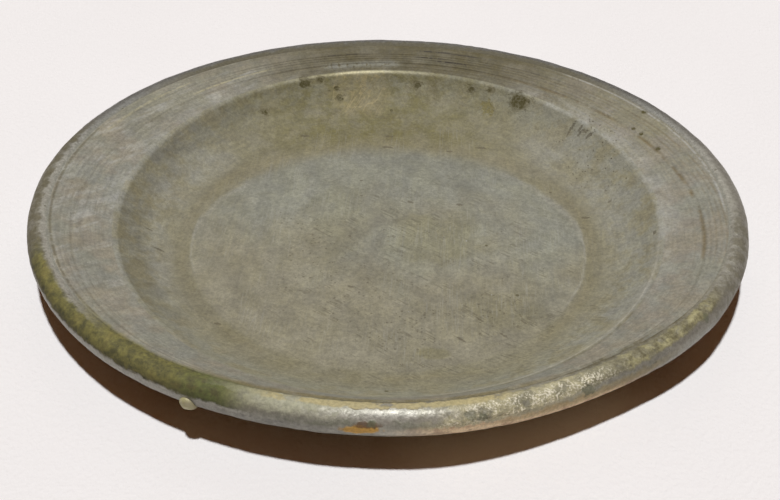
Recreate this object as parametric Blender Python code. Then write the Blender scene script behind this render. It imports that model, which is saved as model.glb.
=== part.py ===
"""An oval copper dish with a wired edge, tinned on its upper face. Units are metres, +Z is up.

The dish stands on its base at z = 0, with its long axis along X and its front towards -Y. One sheet of
copper makes the base, the wall, the lip and the rolled edge, which closes round an iron wire. Tin covers
the upper face as far as the crease beside the roll, and one run of tin has set on the roll's front.
"""

import math

import bmesh
import bpy
from mathutils import Vector

# Outline of the dish, measured over the rolled edge.
RIM_HALF_LENGTH = 0.120
RIM_HALF_WIDTH = 0.102

# Rolled edge. Its angles count from level and outwards, so 90 degrees is its top.
ROLL_RADIUS = 0.0046
ROLL_HEIGHT = 0.0138
ROLL_START = math.radians(120)
ROLL_END = math.radians(-150)

# Lip: how wide it is in plan at the two ends of the oval, and along its front and back on average.
LIP_AT_ENDS = 0.0216
LIP_AT_SIDES = 0.0089

# Well: how wide its wall is in plan, how fast the wall steepens, and how far the well sits to the front.
SHOULDER_HEIGHT = 0.0120
SHOULDER_ROUND = 0.0013
WALL_RUN = 0.025
WALL_CURVE = 2.1
WELL_SHIFT = -0.003

# Copper sheet, the wire in its edge and the tin on it.
SHEET = 0.0012
WIRE_CLEARANCE = 0.0004
WIRE_BUTT_GAP = 0.0006
TIN = 0.0003
TIN_CLEARANCE = 0.0003
TIN_MARGIN = 0.0005

# Knocks that have put the rim out of true: it is driven in and down at the front right, and has
# spread out and down at the front left.
DENT_IN = 0.0025
DENT_DROP = 0.0016
DENT_ANGLE = math.radians(-59)
DENT_REACH = math.radians(28)
SPREAD_OUT = 0.0007
SPREAD_DROP = 0.0008
SPREAD_ANGLE = math.radians(-136)
SPREAD_REACH = math.radians(44)

# Run of tin on the front left of the roll.
RUN_ANGLE = math.radians(-117)
RUN_ROLL_ANGLE = math.radians(-28)
RUN_HALF_WIDTH = 0.0025
RUN_HALF_HEIGHT = 0.0030
RUN_DEPTH = 0.0016

# Facets.
AROUND = 64
WALL_STEPS = 6
SHOULDER_STEPS = 2
LIP_STEPS = 3
ROLL_STEPS = 14
WIRE_SIDES = 12
RUN_SIDES = 16
RUN_BANDS = 10
SHARP_ANGLE = math.radians(40)

UP = Vector((0, 0, 1))
CREASE_INSET = ROLL_RADIUS * (1 - math.cos(ROLL_START))
SHOULDER_HALF_LENGTH = RIM_HALF_LENGTH - CREASE_INSET - LIP_AT_ENDS
SHOULDER_HALF_WIDTH = RIM_HALF_WIDTH - CREASE_INSET - LIP_AT_SIDES
ANGLES = [math.tau * step / AROUND for step in range(AROUND)]


def clear_scene():
    for obj in list(bpy.data.objects):
        bpy.data.objects.remove(obj)


def knock(angle, centre, reach):
    """The share of a smooth knock in the rim that is felt at this angle."""
    away = abs(math.remainder(angle - centre, math.tau))
    if away >= reach:
        return 0.0
    return (1 + math.cos(math.pi * away / reach)) / 2


def rim_knocks(angle):
    """How far the knocks have moved the rim outwards and downwards at this angle."""
    dent = knock(angle, DENT_ANGLE, DENT_REACH)
    spread = knock(angle, SPREAD_ANGLE, SPREAD_REACH)
    return spread * SPREAD_OUT - dent * DENT_IN, spread * SPREAD_DROP + dent * DENT_DROP


def well_point(angle, inset, height):
    """A point of the well, this far in plan inside its shoulder."""
    half_length = SHOULDER_HALF_LENGTH - inset
    half_width = SHOULDER_HALF_WIDTH - inset
    return Vector((half_length * math.cos(angle), WELL_SHIFT + half_width * math.sin(angle), height))


def roll_frame(angle):
    """The middle of the rolled edge at this angle, and the way out from there, level and square to the edge."""
    half_length = RIM_HALF_LENGTH - ROLL_RADIUS
    half_width = RIM_HALF_WIDTH - ROLL_RADIUS
    outwards = Vector((half_width * math.cos(angle), half_length * math.sin(angle), 0)).normalized()
    moved_out, moved_down = rim_knocks(angle)
    true_middle = Vector((half_length * math.cos(angle), half_width * math.sin(angle), ROLL_HEIGHT))
    return true_middle + moved_out * outwards - moved_down * UP, outwards


def roll_point(angle, roll_angle, radius):
    """A point at this radius round the middle of the rolled edge."""
    middle, outwards = roll_frame(angle)
    return middle + radius * (math.cos(roll_angle) * outwards + math.sin(roll_angle) * UP)


def wall_point(angle, share):
    """A point on the wall, which leaves the base level and steepens up to the shoulder."""
    height = SHEET + (SHOULDER_HEIGHT - SHEET) * share**WALL_CURVE
    return well_point(angle, WALL_RUN * (1 - share), height)


def crease(angle):
    return roll_point(angle, ROLL_START, ROLL_RADIUS)


def shoulder_round(angle, share):
    """A point on the rounding that takes the wall into the lip."""
    corner = wall_point(angle, 1)
    down_wall = wall_point(angle, 1 - 1 / WALL_STEPS) - corner
    along_lip = crease(angle) - corner
    reach = min(SHOULDER_ROUND, down_wall.length / 2, along_lip.length / 2)
    before = corner + reach * down_wall.normalized()
    after = corner + reach * along_lip.normalized()
    return before.lerp(corner, share).lerp(corner.lerp(after, share), share)


def lip_point(angle, share, margin):
    """A point on the lip, from the end of the shoulder's rounding to a margin short of the crease."""
    start = shoulder_round(angle, 1)
    whole = crease(angle) - start
    return start + whole * share * (1 - margin / whole.length)


def upper_rings(margin):
    """The upper face of the sheet as rings of points, from the base to the end of the lip."""
    rings = []
    for step in range(WALL_STEPS):
        rings.append([wall_point(angle, step / WALL_STEPS) for angle in ANGLES])
    for step in range(SHOULDER_STEPS + 1):
        rings.append([shoulder_round(angle, step / SHOULDER_STEPS) for angle in ANGLES])
    for step in range(1, LIP_STEPS + 1):
        rings.append([lip_point(angle, step / LIP_STEPS, margin) for angle in ANGLES])
    return rings


def roll_rings():
    """The outer face of the rolled edge as rings of points, after the crease."""
    rings = []
    for step in range(1, ROLL_STEPS + 1):
        roll_angle = ROLL_START + (ROLL_END - ROLL_START) * step / ROLL_STEPS
        rings.append([roll_point(angle, roll_angle, ROLL_RADIUS) for angle in ANGLES])
    return rings


def add_loop(bm, points):
    """A closed loop of edges through the points."""
    corners = [bm.verts.new(point) for point in points]
    return [bm.edges.new((a, b)) for a, b in zip(corners, corners[1:] + corners[:1])]


def loft(rings, capped_ends):
    """A mesh through rings of points, with a face over the first loop, or over both end loops."""
    bm = bmesh.new()
    loops = [add_loop(bm, points) for points in rings]
    for inner, outer in zip(loops, loops[1:]):
        bmesh.ops.bridge_loops(bm, edges=inner + outer)
    for loop in (loops[0], loops[-1])[:capped_ends]:
        bmesh.ops.contextual_create(bm, geom=loop)
    bmesh.ops.recalc_face_normals(bm, faces=bm.faces)
    return bm


def face_upwards(bm):
    """Turns an open dish round if its first face, the base, looks down."""
    bm.faces.ensure_lookup_table()
    base = max(bm.faces, key=lambda face: face.calc_area())
    if base.normal.z < 0:
        bmesh.ops.reverse_faces(bm, faces=bm.faces)


def metal(name, colour, roughness):
    material = bpy.data.materials.new(name)
    material.use_nodes = True
    shader = material.node_tree.nodes["Principled BSDF"]
    shader.inputs["Base Color"].default_value = (*colour, 1)
    shader.inputs["Metallic"].default_value = 1
    shader.inputs["Roughness"].default_value = roughness
    return material


def add_piece(name, bm, material):
    mesh = bpy.data.meshes.new(name)
    bm.to_mesh(mesh)
    bm.free()
    mesh.shade_smooth()
    mesh.set_sharp_from_angle(angle=SHARP_ANGLE)
    mesh.materials.append(material)
    piece = bpy.data.objects.new(name, mesh)
    bpy.context.scene.collection.objects.link(piece)
    return piece


def thicken(piece, thickness, side):
    """Gives a sheet its thickness, below its face where side is -1 and above it where side is 1."""
    modifier = piece.modifiers.new("thickness", "SOLIDIFY")
    modifier.thickness = thickness
    modifier.offset = side
    modifier.use_even_offset = True
    modifier.use_quality_normals = True


def add_copper_body(parent):
    bm = loft(upper_rings(0) + roll_rings(), capped_ends=1)
    face_upwards(bm)
    piece = add_piece("copper_body", bm, metal("aged copper", (0.42, 0.30, 0.18), 0.45))
    piece.parent = parent
    thicken(piece, SHEET, -1)


def add_tin_lining(parent):
    bm = loft(upper_rings(TIN_MARGIN), capped_ends=1)
    face_upwards(bm)
    piece = add_piece("tin_lining", bm, metal("dull tin", (0.46, 0.44, 0.37), 0.4))
    piece.parent = parent
    stand_off = piece.modifiers.new("clearance", "DISPLACE")
    stand_off.strength = TIN_CLEARANCE
    stand_off.mid_level = 0
    thicken(piece, TIN, 1)


def add_rim_wire(parent):
    """An oval of wire, bent so that its ends butt at the back of the dish."""
    radius = ROLL_RADIUS - SHEET - WIRE_CLEARANCE
    half_gap = WIRE_BUTT_GAP / 2 / (RIM_HALF_LENGTH - ROLL_RADIUS)
    butt = math.pi / 2
    stops = [butt + half_gap]
    stops += [butt + math.tau * step / AROUND for step in range(1, AROUND)]
    stops.append(butt + math.tau - half_gap)
    turns = [math.tau * side / WIRE_SIDES for side in range(WIRE_SIDES)]
    rings = [[roll_point(angle, turn, radius) for turn in turns] for angle in stops]
    bm = loft(rings, capped_ends=2)
    piece = add_piece("rim_wire", bm, metal("iron wire", (0.16, 0.14, 0.13), 0.6))
    piece.parent = parent


def add_tin_run(parent):
    """A bead whose inner side follows the roll and whose outer side swells from it."""
    nudge = math.radians(1)
    per_radian = (roll_frame(RUN_ANGLE + nudge)[0] - roll_frame(RUN_ANGLE)[0]).length / nudge
    bm = bmesh.new()
    bmesh.ops.create_uvsphere(bm, u_segments=RUN_SIDES, v_segments=RUN_BANDS, radius=1)
    for corner in bm.verts:
        along, across, out = corner.co
        angle = RUN_ANGLE + along * RUN_HALF_WIDTH / per_radian
        roll_angle = RUN_ROLL_ANGLE + across * RUN_HALF_HEIGHT / ROLL_RADIUS
        radius = ROLL_RADIUS + TIN_CLEARANCE + max(out, 0) * RUN_DEPTH
        corner.co = roll_point(angle, roll_angle, radius)
    piece = add_piece("tin_run", bm, metal("bright tin", (0.55, 0.52, 0.42), 0.35))
    piece.parent = parent


def main():
    clear_scene()
    dish = bpy.data.objects.new("dish", None)
    bpy.context.scene.collection.objects.link(dish)
    add_copper_body(dish)
    add_tin_lining(dish)
    add_rim_wire(dish)
    add_tin_run(dish)


main()
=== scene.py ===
"""The looks of an old oval copper dish: tinned inside, rolled round a wire at its edge, and worn.

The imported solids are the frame. Every piece here is bent from a spun section onto the same ovals as the
solids, in metres, with the dish standing at z = 0, its length along X and its front towards -Y.
"""

import math

import bmesh
import bpy
import numpy as np
from bpy.props import FloatProperty, FloatVectorProperty, IntProperty, PointerProperty
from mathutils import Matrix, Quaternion, Vector, noise


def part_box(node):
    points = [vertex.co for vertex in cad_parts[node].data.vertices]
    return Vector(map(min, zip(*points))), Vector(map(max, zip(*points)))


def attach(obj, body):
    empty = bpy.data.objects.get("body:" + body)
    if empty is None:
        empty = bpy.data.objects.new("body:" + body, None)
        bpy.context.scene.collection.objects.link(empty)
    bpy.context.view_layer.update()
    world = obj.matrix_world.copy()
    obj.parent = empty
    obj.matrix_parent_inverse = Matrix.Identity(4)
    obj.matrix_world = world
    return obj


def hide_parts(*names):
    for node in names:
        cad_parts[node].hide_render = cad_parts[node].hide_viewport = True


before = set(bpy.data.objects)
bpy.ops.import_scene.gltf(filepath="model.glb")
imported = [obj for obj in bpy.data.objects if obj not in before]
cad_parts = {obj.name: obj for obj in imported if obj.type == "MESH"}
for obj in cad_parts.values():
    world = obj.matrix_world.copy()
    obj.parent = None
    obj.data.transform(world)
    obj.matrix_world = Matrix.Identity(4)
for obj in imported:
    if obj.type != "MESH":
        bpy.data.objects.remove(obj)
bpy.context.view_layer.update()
RIM_LOW, RIM_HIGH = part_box("copper_body")

bl_info = {
    "name": "Old tinned dish",
    "version": (1, 0, 0),
    "blender": (4, 5, 0),
    "location": "3D View > Sidebar > Dish",
    "description": "Builds an oval copper dish with a wired edge and worn tin",
    "category": "Object",
}

# Stations count along the sheet, from the middle of the dish to the end of the rolled edge.
BASE_END = 1
WALL_END = 2
SHOULDER_END = 3
LIP_END = 4
ROLL_END = 5
ROLL_FROM = math.radians(120)
ROLL_TO = math.radians(-150)
UP = np.array((0.0, 0.0, 1.0))
SHARP_ANGLE = math.radians(50)

# Where the knocks in the rim are, and how far they reach round it.
DENT_ANGLE = math.radians(-59)
DENT_REACH = math.radians(28)
SPREAD_ANGLE = math.radians(-136)
SPREAD_REACH = math.radians(44)

# Where crust and moss green have grown on the rolled edge, how much the crust narrows to the right, and
# where the run of tin has set.
CRUST_FROM = math.radians(-84)
CRUST_TO = math.radians(-34)
CRUST_NARROWING = 0.26
MOSS_FROM = math.radians(-158)
MOSS_TO = math.radians(-110)
RUN_ANGLE = math.radians(-117)
RUN_ROLL_ANGLE = math.radians(-28)

# Lines turned into the lip: station, half width and depth in metres. They drift from the lip's own
# ovals towards the front, by this much of a station, and so does the grey tin of the base.
TURN_DRIFT = 0.30
BASE_DRIFT = 0.28
MAIN_LINE_DEPTH = 0.00020
TURNED_LINES = (
    (3.40, 0.018, 0.00006),
    (3.54, 0.036, MAIN_LINE_DEPTH),
    (3.64, 0.016, 0.00007),
    (3.73, 0.018, 0.00010),
    (3.82, 0.018, 0.00010),
    (3.90, 0.020, 0.00012),
)

# Broken dashes along the lip, and one painted reflection on it: station, half width, start and stop in
# degrees, colour and strength.
LIP_DASHES = (
    (3.79, 0.050, 77, 84, "black", 1.0),
    (3.77, 0.045, 71, 77, "black", 0.9),
    (3.54, 0.045, 78, 84, "black", 1.0),
    (3.44, 0.050, 72, 80, "black", 1.0),
    (3.64, 0.045, 97, 105, "black", 0.7),
    # Painted reflection: the wide bluish band low on the lip at the back.
    (3.22, 0.200, 88, 106, "tin_blue_and_reflection", 0.8),
    (3.95, 0.035, -6, 52, "tin_pale", 0.7),
    (3.47, 0.040, 118, 137, "crust", 0.6),
    (3.80, 0.040, 135, 160, "crust", 0.4),
    (3.95, 0.040, 160, 222, "film", 0.6),
)


def size(label, default, text, unit="LENGTH", **limits):
    return FloatProperty(name=label, description=text, default=default, unit=unit, precision=5, **limits)


def colour(label, default, text):
    return FloatVectorProperty(name=label, description=text, default=default, subtype="COLOR", min=0, max=1)


class DishSizes(bpy.types.PropertyGroup):
    """Sizes of the dish, as its solids have them."""

    rim_half_length: size("Half length", (RIM_HIGH.x - RIM_LOW.x) / 2, "Half the length over the edge")
    rim_half_width: size("Half width", (RIM_HIGH.y - RIM_LOW.y) / 2, "Half the width over the edge")
    roll_radius: size("Roll radius", 0.0046, "Radius of the rolled edge")
    roll_height: size("Roll height", 0.0138, "Height of the middle of the rolled edge")
    lip_at_ends: size("Lip at the ends", 0.0216, "Width of the lip at the ends of the oval")
    lip_at_sides: size("Lip at the sides", 0.0089, "Width of the lip along the front and the back")
    shoulder_height: size("Shoulder height", 0.0120, "Height of the shoulder between well and lip")
    shoulder_round: size("Shoulder rounding", 0.0013, "Reach of the rounding on the shoulder")
    wall_run: size("Wall run", 0.025, "Width of the wall in plan")
    wall_curve: size("Wall curve", 2.1, "How fast the wall steepens", unit="NONE")
    well_shift: size("Well shift", -0.003, "How far the well sits to the front")
    sheet: size("Sheet", 0.0012, "Thickness of the copper")
    dent_in: size("Dent in", 0.0025, "How far the rim is driven in at the front right")
    dent_drop: size("Dent drop", 0.0016, "How far the rim is driven down at the front right")
    spread_out: size("Spread", 0.0007, "How far the rim has spread at the front left")
    spread_drop: size("Spread drop", 0.0008, "How far the rim has dropped at the front left")
    wire_radius: size("Wire radius", 0.0030, "Radius of the wire in the rolled edge")
    wire_butt_gap: size("Wire gap", 0.0006, "Gap between the butted ends of the wire")
    tin: size("Tin", 0.0006, "How far the tin's face stands above the copper")
    tin_seat: size("Tin seat", 0.00006, "How far the tin's underside stands above the copper")
    tin_end: size("Tin end", 3.992, "Station where the tin stops, beside the crease", unit="NONE")
    tin_taper: size("Tin taper", 0.14, "How far before its end the tin starts to thin", unit="NONE")
    tin_edge: size("Tin edge", 0.005, "How far the tin's cut edge leans, in stations", unit="NONE")
    run_half_width: size("Run half width", 0.0025, "Half the width of the run of tin")
    run_half_height: size("Run half height", 0.0030, "Half the height of the run of tin")
    run_depth: size("Run depth", 0.0016, "How far the run of tin stands out")
    dent_depth: size("Dent depth", 0.00022, "Depth of the dents in the rolled edge")
    ripple_depth: size("Ripple depth", 0.00007, "Depth of the ripples left in the tin by use")
    crust_depth: size("Crust depth", 0.00040, "How far the crust stands out from the rolled edge")
    moss_depth: size("Moss depth", 0.00025, "How far the moss green stands out from the rolled edge")


class DishColours(bpy.types.PropertyGroup):
    """Colours of the finishes."""

    tin_grey: colour("Tin", (0.247, 0.255, 0.211), "Bare dull tin on the base")
    tin_warm: colour("Warm tin", (0.244, 0.232, 0.168), "Tin with a thin brown film on the base")
    tin_olive: colour("Khaki tin", (0.232, 0.219, 0.145), "Tin with a khaki film on the wall")
    tin_wall: colour("Wall tin", (0.224, 0.214, 0.150), "Tin between the khaki film on the wall")
    tin_lip: colour("Lip tin", (0.270, 0.253, 0.203), "Pinkish tin on the lip")
    # Bluish tin on the lip, and also a painted reflection in the crease at the ends of the roll and in a
    # wide band on the lip at the back.
    tin_blue_and_reflection: colour("Bluish tin", (0.256, 0.262, 0.224), "Bluish tin on the lip")
    tin_rubbed: colour("Rubbed tin", (0.323, 0.330, 0.291), "Tin rubbed paler on the side walls")
    tin_pale: colour("Pale tin", (0.41, 0.42, 0.40), "Tin rubbed bright on the shoulder")
    khaki: colour("Khaki", (0.226, 0.206, 0.124), "Khaki film on the lip")
    film: colour("Film", (0.102, 0.088, 0.038), "Dark olive film along the back")
    film_thin: colour("Thin film", (0.168, 0.154, 0.062), "Olive film on the back wall")
    gold: colour("Gold", (0.31, 0.265, 0.135), "Yellow smears in the well")
    line_brown: colour("Line brown", (0.155, 0.120, 0.052), "Dirt in the turned lines")
    stain: colour("Stain", (0.070, 0.060, 0.008), "Dark corrosion spots")
    black: colour("Black", (0.026, 0.018, 0.006), "Dirt in the deepest scratches")
    ochre: colour("Ochre", (0.205, 0.178, 0.052), "Rusty spot")
    pit: colour("Pit", (0.10, 0.085, 0.05), "Small pits")
    copper_brown: colour("Brown copper", (0.26, 0.13, 0.06), "Aged bare copper")
    copper_dark: colour("Dark copper", (0.12, 0.065, 0.03), "Copper under a dark film")
    copper_worn: colour("Worn copper", (0.69, 0.54, 0.34), "Copper worn bare along the edge")
    copper_bright: colour("Bright copper", (0.53, 0.305, 0.045), "Copper rubbed bright")
    moss: colour("Moss", (0.180, 0.167, 0.050), "Moss green on the rolled edge")
    moss_dark: colour("Dark moss", (0.080, 0.077, 0.030), "Dark mottling in the moss green")
    moss_yellow: colour("Yellow moss", (0.240, 0.205, 0.062), "Yellow tufts in the moss green")
    green: colour("Green", (0.085, 0.115, 0.033), "Fresher green")
    pale_green: colour("Pale green", (0.42, 0.425, 0.300), "Pale green bloom at the front left")
    smudge: colour("Smudge", (0.118, 0.130, 0.078), "Dark greenish smudges on the rolled edge")
    crust: colour("Crust", (0.46, 0.43, 0.27), "Pale crust on the rolled edge")
    crust_grey: colour("Grey crust", (0.26, 0.245, 0.150), "Thin grey crust between the thicker clumps")
    crust_yellow: colour("Yellow crust", (0.43, 0.405, 0.215), "Yellowish crust towards the right end")
    crust_white: colour("White crust", (0.80, 0.77, 0.62), "Brightest flakes of the crust")
    cream: colour("Cream", (0.47, 0.41, 0.21), "Yellow band on top of the front edge")
    crease: colour("Crease", (0.19, 0.165, 0.085), "Dirt in the crease beside the roll")
    roll_grey: colour("Roll tin", (0.33, 0.325, 0.28), "Old tin on the rolled edge")
    roll_dark: colour("Dark roll tin", (0.17, 0.172, 0.160), "Darker tin along the back of the rolled edge")
    # Partly tin rubbed bright, partly a painted highlight: it is laid where the key light's reflection falls
    # on the rolled edge and on the top of the wall at the front right.
    silver_and_highlight: colour("Silver", (0.55, 0.54, 0.48), "Tin rubbed bright on the front of the rolled edge")
    iron: colour("Iron", (0.10, 0.085, 0.075), "Iron wire")
    rust: colour("Rust", (0.20, 0.085, 0.035), "Rust on the wire")
    floor: colour("Floor", (0.91, 0.91, 0.92), "Pale floor")
    back_light: colour("Back light", (1.0, 0.97, 0.93), "Warm white of the back light")
    sky_warm: colour("Warm sky", (1.0, 0.36, 0.06), "Dim light from all round")
    sky_pale: colour("Pale sky", (0.80, 0.80, 0.81), "What the camera meets past the floor")


class StageSettings(bpy.types.PropertyGroup):
    """Camera, lights and floor."""

    camera_height: size("Camera height", 0.22381, "Height of the camera above the floor")
    camera_distance: size("Camera distance", 0.27006, "How far the camera stands in front of the middle")
    camera_aim: FloatVectorProperty(
        name="Aim", description="Direction that the camera looks in", default=(0.00194, 0.75488, -0.65586)
    )
    camera_roll: size("Camera roll", 0.0177, "Turn of the camera about its own axis", unit="ROTATION")
    camera_lens: FloatProperty(name="Lens", description="Focal length, in mm", default=46.154)
    camera_frame: FloatProperty(name="Frame", description="Width of the camera's frame, in mm", default=36)
    key_strength: FloatProperty(name="Key", description="Strength of the light above the dish", default=2.75)
    key_tilt: size("Key tilt", math.radians(6.5), "Lean of the key light to the back", unit="ROTATION")
    key_turn: size("Key turn", math.radians(-2), "Lean of the key light to the side", unit="ROTATION")
    key_spread: size("Key spread", math.radians(3.5), "Angle that the key light fills", unit="ROTATION")
    back_power: FloatProperty(name="Back", description="Power of the soft back light, in watts", default=1.6)
    back_side: size("Back side", 0.9, "Side of the soft back light")
    back_place: FloatVectorProperty(
        name="Back place", description="Place of the soft back light", default=(0, 1.15, 0.85)
    )
    sky: FloatProperty(name="Sky", description="Strength of the light from all round", default=0.075)
    floor_side: size("Floor", 60.0, "Side of the floor")
    floor_drop: size("Floor drop", 0.0002, "How far the floor lies below the dish")


class DishDetail(bpy.types.PropertyGroup):
    """How finely the pieces are divided."""

    around: IntProperty(name="Around", description="Steps round the tin", default=448, min=64)
    base_steps: IntProperty(name="Base", description="Steps across the base", default=22, min=1)
    wall_steps: IntProperty(name="Wall", description="Steps up the wall", default=30, min=2)
    shoulder_steps: IntProperty(name="Shoulder", description="Steps over the shoulder", default=8, min=2)
    lip_steps: IntProperty(name="Lip", description="Steps across the lip", default=84, min=2)
    roll_steps: IntProperty(name="Roll", description="Steps round the rolled edge", default=60, min=8)
    hidden_steps: IntProperty(name="Hidden", description="Steps along each hidden stretch", default=8, min=2)
    wire_sides: IntProperty(name="Wire", description="Steps round the wire's own section", default=24, min=3)
    run_sides: IntProperty(name="Run", description="Steps round the run of tin", default=48, min=8)


def knock(angle, centre, reach):
    """The share of a smooth knock in the rim that is felt at these angles."""
    away = np.abs(np.remainder(angle - centre + math.pi, math.tau) - math.pi)
    return np.where(away < reach, (1 + np.cos(math.pi * away / reach)) / 2, 0)


def within(value, low, high, soft=math.radians(3)):
    """1 from low to high, falling to 0 outside."""
    return np.clip((value - low) / soft, 0, 1) * np.clip((high - value) / soft, 0, 1)


def rows(*columns):
    return np.stack(np.broadcast_arrays(*columns), axis=-1)


def unit(vectors):
    return vectors / np.linalg.norm(vectors, axis=-1, keepdims=True)


class DishFace:
    """The upper face of the sheet, which every piece follows, at an array of angles round the dish."""

    def __init__(self, sizes, angle):
        self.sizes = sizes
        self.angle = angle
        self.cos = np.cos(angle)
        self.sin = np.sin(angle)
        crease_inset = sizes.roll_radius * (1 - math.cos(ROLL_FROM))
        self.shoulder_length = sizes.rim_half_length - crease_inset - sizes.lip_at_ends
        self.shoulder_width = sizes.rim_half_width - crease_inset - sizes.lip_at_sides
        self.rise = sizes.shoulder_height - sizes.sheet
        self.wall_share = 1 - sizes.shoulder_round / math.hypot(sizes.wall_run, self.rise * sizes.wall_curve)
        self.corner = self.wall(np.ones_like(angle))
        self.crease = self.roll(np.full_like(angle, ROLL_FROM), sizes.roll_radius)
        self.lip_start = self.corner + sizes.shoulder_round * unit(self.crease - self.corner)

    def well(self, inset, height):
        """Points of the well, this far in plan inside its shoulder."""
        x = (self.shoulder_length - inset) * self.cos
        y = (self.shoulder_width - inset) * self.sin + self.sizes.well_shift
        return rows(x, y, height)

    def wall(self, share):
        """Points on the wall, which leaves the base level and steepens up to the shoulder."""
        height = self.sizes.sheet + self.rise * share**self.sizes.wall_curve
        return self.well(self.sizes.wall_run * (1 - share), height)

    def roll(self, roll_angle, radius):
        """Points at this radius round the middle of the rolled edge."""
        sizes = self.sizes
        half_length = sizes.rim_half_length - sizes.roll_radius
        half_width = sizes.rim_half_width - sizes.roll_radius
        outwards = unit(rows(half_width * self.cos, half_length * self.sin, 0.0))
        dent = knock(self.angle, DENT_ANGLE, DENT_REACH)[:, None]
        spread = knock(self.angle, SPREAD_ANGLE, SPREAD_REACH)[:, None]
        middle = rows(half_length * self.cos, half_width * self.sin, sizes.roll_height)
        middle = middle + (spread * sizes.spread_out - dent * sizes.dent_in) * outwards
        middle = middle - (spread * sizes.spread_drop + dent * sizes.dent_drop) * UP
        across = np.cos(roll_angle)[:, None] * outwards
        return middle + np.reshape(radius, (-1, 1)) * (across + np.sin(roll_angle)[:, None] * UP)

    def at(self, station):
        """Points of the face at these stations, one for each angle."""
        share = np.clip(station - np.arange(ROLL_END)[:, None], 0, 1)
        middle = np.array((0, self.sizes.well_shift, self.sizes.sheet))
        base = middle + share[0][:, None] * (self.wall(np.zeros_like(station)) - middle)
        wall = self.wall(share[1] * self.wall_share)
        wall_stop = self.wall(np.full_like(station, self.wall_share))
        bend = share[2][:, None]
        shoulder = (1 - bend) ** 2 * wall_stop + 2 * bend * (1 - bend) * self.corner
        shoulder = shoulder + bend**2 * self.lip_start
        lip = self.lip_start + share[3][:, None] * (self.crease - self.lip_start)
        roll_angle = ROLL_FROM + (ROLL_TO - ROLL_FROM) * share[4]
        roll = self.roll(roll_angle, self.sizes.roll_radius)
        part = np.clip(np.ceil(station) - 1, 0, ROLL_END - 1).astype(int)
        return np.choose(part[:, None], (base, wall, shoulder, lip, roll))


def bent(sizes, station, angle, height):
    """Places of points that stand this far off the upper face, and their way out from it."""
    nudge = 1e-4
    face = DishFace(sizes, angle)
    inner = face.at(np.maximum(station - nudge, nudge))
    along = face.at(np.clip(station + nudge, 3 * nudge, ROLL_END)) - inner
    away = np.maximum(station, nudge)
    around = DishFace(sizes, angle + nudge).at(away) - face.at(away)
    outwards = unit(np.cross(along, around))
    return face.at(station) + height[:, None] * outwards


def section(start, stop, steps, height):
    """Points of a section from one station to another, leaving out the first."""
    return [(start + (stop - start) * step / steps, 0, height) for step in range(1, steps + 1)]


def spun_disc(points, steps, doublings=4):
    """A closed disc spun from a section, whose distance from the axis is a station.

    One sector is spun, and copies double it until it closes, which is faster than one full spin.
    """
    bm = bmesh.new()
    last = bm.verts.new(points[0])
    for point in points[1:]:
        last = bmesh.ops.extrude_vert_indiv(bm, verts=[last])["verts"][0]
        last.co = point
    sector = math.tau / 2**doublings
    outline = bm.verts[:] + bm.edges[:]
    bmesh.ops.spin(bm, geom=outline, axis=UP, angle=sector, steps=steps // 2**doublings)
    for doubling in range(doublings):
        turn = Quaternion(UP, sector * 2**doubling).to_matrix()
        copy = bmesh.ops.duplicate(bm, geom=bm.verts[:] + bm.edges[:] + bm.faces[:])["geom"]
        corners = [part for part in copy if isinstance(part, bmesh.types.BMVert)]
        bmesh.ops.rotate(bm, verts=corners, matrix=turn)
    bmesh.ops.remove_doubles(bm, verts=bm.verts, dist=1e-5)
    bmesh.ops.recalc_face_normals(bm, faces=bm.faces)
    return bm


def bend_onto_dish(bm, sizes, relief):
    """Bends a disc onto the dish and keeps each point's station and way round it for the finish."""
    flat = np.array([corner.co for corner in bm.verts])
    station = np.hypot(flat[:, 0], flat[:, 1])
    angle = np.arctan2(flat[:, 1], flat[:, 0])
    height = flat[:, 2] + relief(station, angle, flat[:, 2])
    places = bent(sizes, station, angle, height)
    kept_station = bm.verts.layers.float.new("station")
    kept_around = bm.verts.layers.float_vector.new("around")
    around = rows(np.cos(angle), np.sin(angle), 0.0)
    for corner, own_station, own_around in zip(bm.verts, station, around):
        corner[kept_station] = own_station
        corner[kept_around] = own_around
    place_corners(bm, places)


def place_corners(bm, places):
    for corner, place in zip(bm.verts, places):
        corner.co = place


def rough(places, scale, depth):
    """A smooth roughness over these places, with lumps of this many to the metre."""
    return np.array([depth * noise.noise(Vector(place) * scale) for place in places])


def add_object(name, data):
    """A new object in the scene, from a mesh, a lamp or a camera."""
    added = bpy.data.objects.new(name, data)
    bpy.context.scene.collection.objects.link(added)
    return added


def finish_piece(name, bm, material, node):
    """Makes the piece an object that stands for a node of the frame."""
    mesh = bpy.data.meshes.new(name)
    bm.to_mesh(mesh)
    bm.free()
    mesh.shade_smooth()
    mesh.set_sharp_from_angle(angle=SHARP_ANGLE)
    mesh.materials.append(material)
    piece = add_object(name, mesh)
    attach(piece, "root")
    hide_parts(node)


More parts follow.
